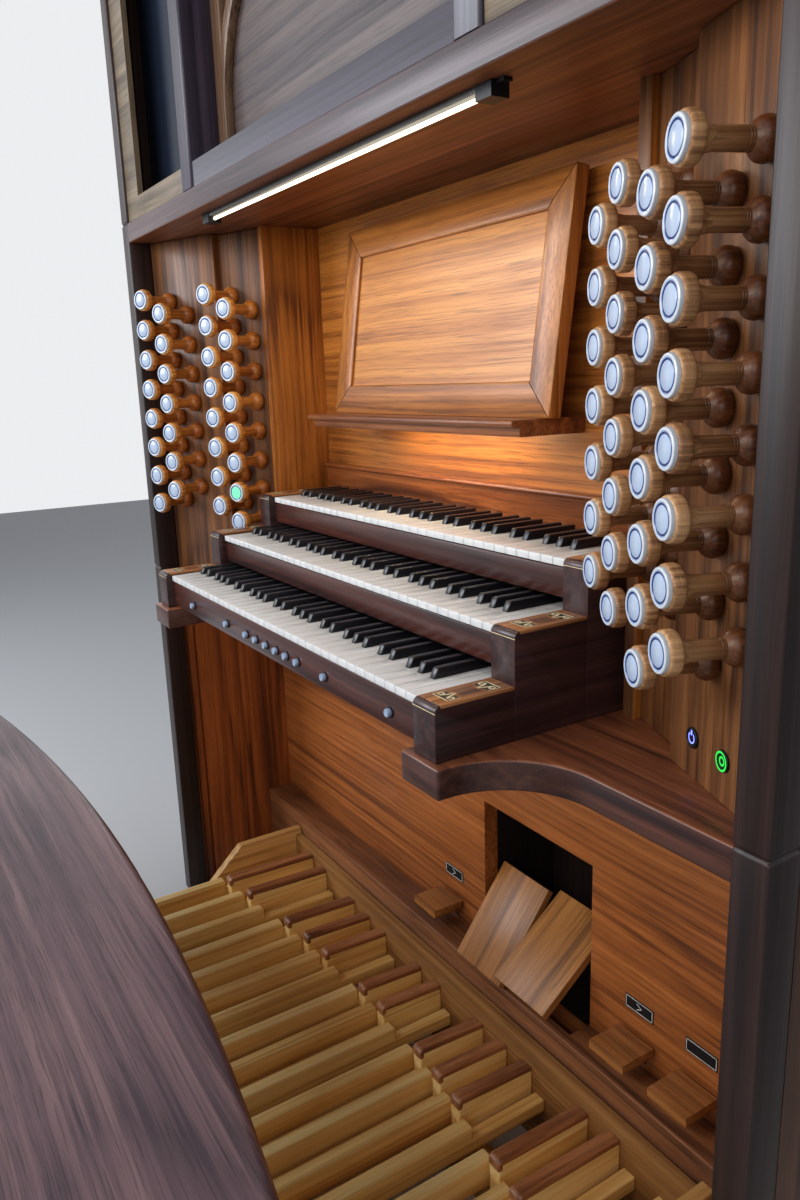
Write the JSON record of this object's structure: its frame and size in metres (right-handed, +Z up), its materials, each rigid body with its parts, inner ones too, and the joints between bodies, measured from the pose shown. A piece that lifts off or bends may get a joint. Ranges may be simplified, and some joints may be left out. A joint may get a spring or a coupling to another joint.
{
  "type": "pipe organ console",
  "caption": "Organ keydesk in its case section, with stepped manuals, draw-knobs on angled jambs, music desk, pedalboard, swell and toe pedals and a loose bench.",
  "frame": {"origin": "on the floor below the middle of the keyboards, at the fronts of the lowest manual's keys, which is also the middle of the overall box", "axes": "+Z up, +Y from the player into the organ, +X towards the treble"},
  "size_m": [1.64, 1.2, 2.1],
  "materials": {
    "walnut_dark": "satin oiled dark walnut",
    "walnut": "satin oiled walnut",
    "walnut_light": "satin oiled light walnut",
    "oak": "satin lacquered oak",
    "key_white": "polished white key covering",
    "key_black": "polished black",
    "porcelain": "glazed white face",
    "black_metal": "black",
    "steel": "brushed",
    "lamp_glow": "lit diffuser",
    "blue_black": "dark stained board"
  },
  "bodies": {
    "console": {"case_posts": "walnut_dark", "case_sides": "walnut_dark", "case_back": "walnut_dark", "roof_board": "walnut_dark", "lower_side_walls": "walnut", "knee_panel": "walnut", "toe_board": "walnut", "swell_box": "walnut_dark", "swell_shaft": "steel", "toe_brackets": "black_metal", "label_plates": "black_metal", "key_table": "walnut_dark", "key_cheeks": "walnut_dark", "cheek_tops": "walnut_light", "key_slip": "walnut_dark", "thumb_pistons": "steel", "natural_keys": "key_white", "sharp_keys": "key_black", "key_beds": "walnut", "key_rails": "walnut_dark", "nameboard": "walnut", "stop_jambs": "walnut", "niche_sides": "walnut", "niche_back": "walnut", "desk_frame": "walnut", "desk_panel": "walnut_light", "music_ledge": "walnut", "canopy": "walnut_dark", "lamp_housing": "black_metal", "lamp_tube": "lamp_glow", "stop_knobs": "walnut_light", "knob_faces": "porcelain", "power_buttons": "black_metal", "upper_frame": "walnut_dark", "upper_panel": "walnut", "upper_ribs": "walnut_light", "bay_frames": "walnut_light", "bay_panels": "blue_black", "pedal_frame": "oak", "natural_pedals": "oak", "sharp_pedals": "oak", "sharp_caps": "walnut", "bench_seat": "walnut_dark", "bench_frame": "walnut_dark"},
    "swell_pedal_left": {"swell_pedal_left": "walnut"},
    "swell_pedal_right": {"swell_pedal_right": "walnut"},
    "toe_pedal_left": {"toe_pedal_left": "walnut"},
    "toe_pedal_middle": {"toe_pedal_middle": "walnut"},
    "toe_pedal_right": {"toe_pedal_right": "walnut"}
  },
  "joints": [
    {"name": "swell_pedal_left_hinge", "type": "hinge", "parent": "console", "child": "swell_pedal_left", "pos_m": [0.186, 0.4195, 0.308], "axis": [-1, 0, 0], "range_deg": [0, 20]},
    {"name": "swell_pedal_right_hinge", "type": "hinge", "parent": "console", "child": "swell_pedal_right", "pos_m": [0.186, 0.4195, 0.308], "axis": [-1, 0, 0], "range_deg": [-16.2, 3.8]},
    {"name": "toe_pedal_left_hinge", "type": "hinge", "parent": "console", "child": "toe_pedal_left", "pos_m": [-0.05, 0.412, 0.242], "axis": [1, 0, 0], "range_deg": [0, 8], "stiffness_Nm_per_rad": 3, "springref_deg": -6.88},
    {"name": "toe_pedal_middle_hinge", "type": "hinge", "parent": "console", "child": "toe_pedal_middle", "pos_m": [0.425, 0.412, 0.242], "axis": [1, 0, 0], "range_deg": [0, 8], "stiffness_Nm_per_rad": 3, "springref_deg": -6.88},
    {"name": "toe_pedal_right_hinge", "type": "hinge", "parent": "console", "child": "toe_pedal_right", "pos_m": [0.53924, 0.412, 0.242], "axis": [1, 0, 0], "range_deg": [0, 8], "stiffness_Nm_per_rad": 3, "springref_deg": -6.88}
  ]
}
